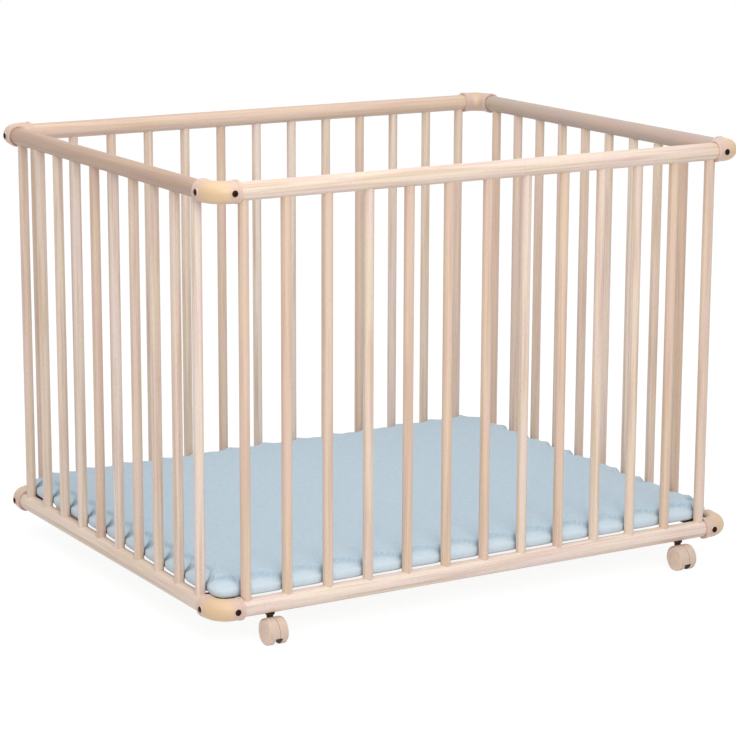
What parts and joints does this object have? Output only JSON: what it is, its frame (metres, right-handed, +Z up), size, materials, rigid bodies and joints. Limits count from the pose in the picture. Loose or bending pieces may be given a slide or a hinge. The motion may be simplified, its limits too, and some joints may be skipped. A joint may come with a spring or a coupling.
{
  "type": "playpen",
  "caption": "Rectangular wooden playpen on twin-wheel castors, with round rails and bars, moulded corner connectors and a padded mat.",
  "frame": {"origin": "on the floor, under the middle of the four rails", "axes": "+X along the long sides, towards the right when seen from the front; +Y from the front long side to the back one; +Z up"},
  "size_m": [0.9784, 0.8028, 0.7073],
  "materials": {
    "beech": "clear-lacquered natural beech",
    "connector": "satin moulded nylon, pale straw",
    "bolt": "dark brown browned steel",
    "castor_steel": "dark brown steel",
    "castor_plastic": "satin moulded nylon, beige",
    "bracket": "dark brown moulded nylon",
    "floor_board": "plain lacquered fibreboard",
    "mat_cotton": "light blue woven cotton over foam"
  },
  "bodies": {
    "pen": {"front_top_rail": "beech", "front_bottom_rail_with_bars": "beech", "back_top_rail": "beech", "back_bottom_rail_with_bars": "beech", "left_top_rail": "beech", "left_bottom_rail_with_bars": "beech", "right_top_rail": "beech", "right_bottom_rail_with_bars": "beech", "top_connector_front_left": "connector", "top_connector_front_right": "connector", "top_connector_back_right": "connector", "top_connector_back_left": "connector", "bottom_connector_front_left": "connector", "bottom_connector_front_right": "connector", "bottom_connector_back_right": "connector", "bottom_connector_back_left": "connector", "top_bolt_front_left_long_rail": "bolt", "top_bolt_front_left_short_rail": "bolt", "top_bolt_front_right_long_rail": "bolt", "top_bolt_front_right_short_rail": "bolt", "top_bolt_back_right_long_rail": "bolt", "top_bolt_back_right_short_rail": "bolt", "top_bolt_back_left_long_rail": "bolt", "top_bolt_back_left_short_rail": "bolt", "bottom_bolt_front_left_long_rail": "bolt", "bottom_bolt_front_left_short_rail": "bolt", "bottom_bolt_front_right_long_rail": "bolt", "bottom_bolt_front_right_short_rail": "bolt", "bottom_bolt_back_right_long_rail": "bolt", "bottom_bolt_back_right_short_rail": "bolt", "bottom_bolt_back_left_long_rail": "bolt", "bottom_bolt_back_left_short_rail": "bolt", "castor_stem_front_left": "castor_steel", "castor_stem_front_right": "castor_steel", "castor_stem_back_right": "castor_steel", "castor_stem_back_left": "castor_steel", "floor_bracket_front_left": "bracket", "floor_bracket_front_right": "bracket", "floor_bracket_back_right": "bracket", "floor_bracket_back_left": "bracket", "floor_panel": "floor_board", "play_mat": "mat_cotton"},
    "castor_front_left": {"castor_hood_front_left": "castor_plastic", "castor_axle_front_left": "castor_steel"},
    "wheel_front_left_inner": {"castor_wheel_front_left_inner": "castor_plastic"},
    "wheel_front_left_outer": {"castor_wheel_front_left_outer": "castor_plastic"},
    "castor_front_right": {"castor_hood_front_right": "castor_plastic", "castor_axle_front_right": "castor_steel"},
    "wheel_front_right_inner": {"castor_wheel_front_right_inner": "castor_plastic"},
    "wheel_front_right_outer": {"castor_wheel_front_right_outer": "castor_plastic"},
    "castor_back_right": {"castor_hood_back_right": "castor_plastic", "castor_axle_back_right": "castor_steel"},
    "wheel_back_right_inner": {"castor_wheel_back_right_inner": "castor_plastic"},
    "wheel_back_right_outer": {"castor_wheel_back_right_outer": "castor_plastic"},
    "castor_back_left": {"castor_hood_back_left": "castor_plastic", "castor_axle_back_left": "castor_steel"},
    "wheel_back_left_inner": {"castor_wheel_back_left_inner": "castor_plastic"},
    "wheel_back_left_outer": {"castor_wheel_back_left_outer": "castor_plastic"},
    "brake_back_left": {"castor_brake_back_left": "castor_steel"},
    "brake_back_right": {"castor_brake_back_right": "castor_steel"}
  },
  "joints": [
    {"name": "swivel_front_left", "type": "hinge", "parent": "pen", "child": "castor_front_left", "pos_m": [-0.3825, -0.375, 0.0395], "axis": [0, 0, 1], "continuous": true},
    {"name": "wheel_spin_front_left_inner", "type": "hinge", "parent": "castor_front_left", "child": "wheel_front_left_inner", "pos_m": [-0.3825, -0.387, 0.02], "axis": [1, 0, 0], "continuous": true},
    {"name": "wheel_spin_front_left_outer", "type": "hinge", "parent": "castor_front_left", "child": "wheel_front_left_outer", "pos_m": [-0.3825, -0.387, 0.02], "axis": [1, 0, 0], "continuous": true},
    {"name": "swivel_front_right", "type": "hinge", "parent": "pen", "child": "castor_front_right", "pos_m": [0.3825, -0.375, 0.0395], "axis": [0, 0, 1], "continuous": true},
    {"name": "wheel_spin_front_right_inner", "type": "hinge", "parent": "castor_front_right", "child": "wheel_front_right_inner", "pos_m": [0.3825, -0.387, 0.02], "axis": [1, 0, 0], "continuous": true},
    {"name": "wheel_spin_front_right_outer", "type": "hinge", "parent": "castor_front_right", "child": "wheel_front_right_outer", "pos_m": [0.3825, -0.387, 0.02], "axis": [1, 0, 0], "continuous": true},
    {"name": "swivel_back_right", "type": "hinge", "parent": "pen", "child": "castor_back_right", "pos_m": [0.3825, 0.375, 0.0395], "axis": [0, 0, 1], "continuous": true},
    {"name": "wheel_spin_back_right_inner", "type": "hinge", "parent": "castor_back_right", "child": "wheel_back_right_inner", "pos_m": [0.3825, 0.363, 0.02], "axis": [1, 0, 0], "continuous": true},
    {"name": "wheel_spin_back_right_outer", "type": "hinge", "parent": "castor_back_right", "child": "wheel_back_right_outer", "pos_m": [0.3825, 0.363, 0.02], "axis": [1, 0, 0], "continuous": true},
    {"name": "swivel_back_left", "type": "hinge", "parent": "pen", "child": "castor_back_left", "pos_m": [-0.3825, 0.375, 0.0395], "axis": [0, 0, 1], "continuous": true},
    {"name": "wheel_spin_back_left_inner", "type": "hinge", "parent": "castor_back_left", "child": "wheel_back_left_inner", "pos_m": [-0.3825, 0.363, 0.02], "axis": [1, 0, 0], "continuous": true},
    {"name": "wheel_spin_back_left_outer", "type": "hinge", "parent": "castor_back_left", "child": "wheel_back_left_outer", "pos_m": [-0.3825, 0.363, 0.02], "axis": [1, 0, 0], "continuous": true},
    {"name": "brake_tilt_back_left", "type": "hinge", "parent": "castor_back_left", "child": "brake_back_left", "pos_m": [-0.3825, 0.35053, 0.02797], "axis": [1, 0, 0], "range_deg": [0, 16]},
    {"name": "brake_tilt_back_right", "type": "hinge", "parent": "castor_back_right", "child": "brake_back_right", "pos_m": [0.3825, 0.35053, 0.02797], "axis": [1, 0, 0], "range_deg": [0, 16]}
  ]
}
